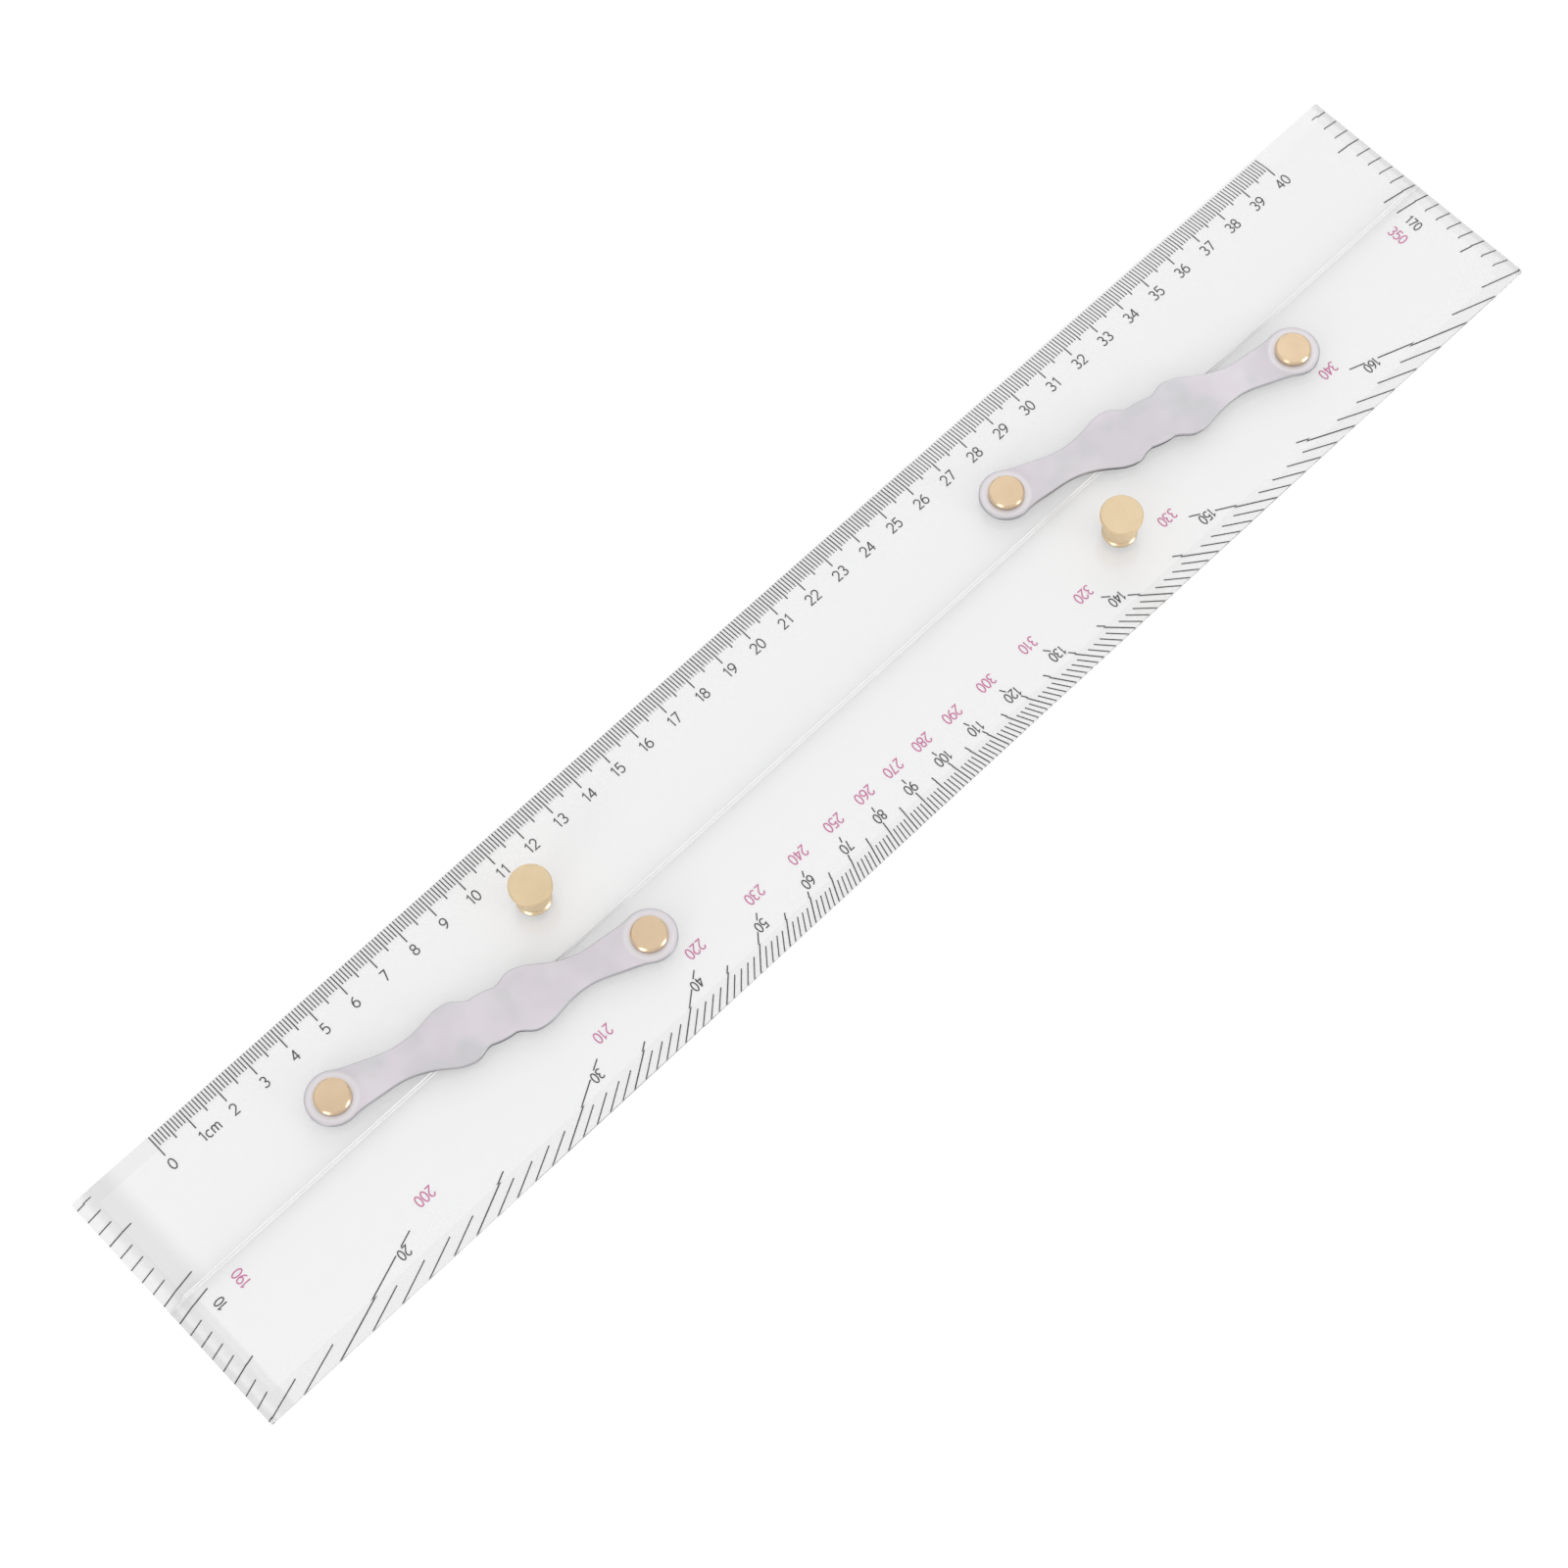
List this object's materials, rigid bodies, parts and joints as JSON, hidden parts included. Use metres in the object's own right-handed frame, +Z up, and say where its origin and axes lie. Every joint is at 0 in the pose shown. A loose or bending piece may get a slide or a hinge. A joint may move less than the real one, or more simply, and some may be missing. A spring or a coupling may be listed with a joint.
{
  "type": "parallel rulers",
  "caption": "Clear bevelled parallel rulers joined by swinging ogee links on brass pivots, with brass knobs, for walking a bearing across a chart.",
  "frame": {"origin": "centre of the closed pair's footprint, on the underside that rests on the chart", "axes": "+X along the rules, +Y across them toward the rule with the centimetre scale, +Z up out of the face that carries the links"},
  "size_m": [0.45, 0.076, 0.0132],
  "materials": {
    "clear_acrylic": "clear polished acrylic",
    "link_plate": "satin lilac-grey anodised",
    "brass": "fine turned satin",
    "brass_screw": "satin",
    "nylon_washer": "natural nylon",
    "black_ink": "printed black ink",
    "magenta_ink": "printed magenta ink"
  },
  "bodies": {
    "lower_rule": {"lower_rule": "clear_acrylic", "left_lower_pivot_stud": "brass", "left_lower_pivot_spacer": "nylon_washer", "left_lower_pivot_head_washer": "nylon_washer", "left_lower_pivot_screw": "brass_screw", "right_lower_pivot_stud": "brass", "right_lower_pivot_spacer": "nylon_washer", "right_lower_pivot_head_washer": "nylon_washer", "right_lower_pivot_screw": "brass_screw", "lower_knob": "brass", "lower_knob_screw": "brass_screw"},
    "left_link": {"left_link": "link_plate"},
    "right_link": {"right_link": "link_plate"},
    "upper_rule": {"upper_rule": "clear_acrylic", "left_upper_pivot_stud": "brass", "left_upper_pivot_spacer": "nylon_washer", "left_upper_pivot_head_washer": "nylon_washer", "left_upper_pivot_screw": "brass_screw", "right_upper_pivot_stud": "brass", "right_upper_pivot_spacer": "nylon_washer", "right_upper_pivot_head_washer": "nylon_washer", "right_upper_pivot_screw": "brass_screw", "upper_knob": "brass", "upper_knob_screw": "brass_screw"}
  },
  "joints": [
    {"name": "left_link_on_lower_rule", "type": "hinge", "parent": "lower_rule", "child": "left_link", "pos_m": [-0.076, -0.012, 0.004], "axis": [0, 0, -1], "range_deg": [0, 148.46]},
    {"name": "right_link_on_lower_rule", "type": "hinge", "parent": "lower_rule", "child": "right_link", "pos_m": [0.161, -0.012, 0.004], "axis": [0, 0, -1], "range_deg": [0, 148.46]},
    {"name": "upper_rule_on_left_link", "type": "hinge", "parent": "left_link", "child": "upper_rule", "pos_m": [-0.161, 0.012, 0.004], "axis": [0, 0, -1], "range_deg": [-148.46, 0]}
  ],
  "couplings": [
    {"joint": "right_link_on_lower_rule", "follows": "left_link_on_lower_rule", "ratio": 1},
    {"joint": "upper_rule_on_left_link", "follows": "left_link_on_lower_rule", "ratio": -1}
  ]
}
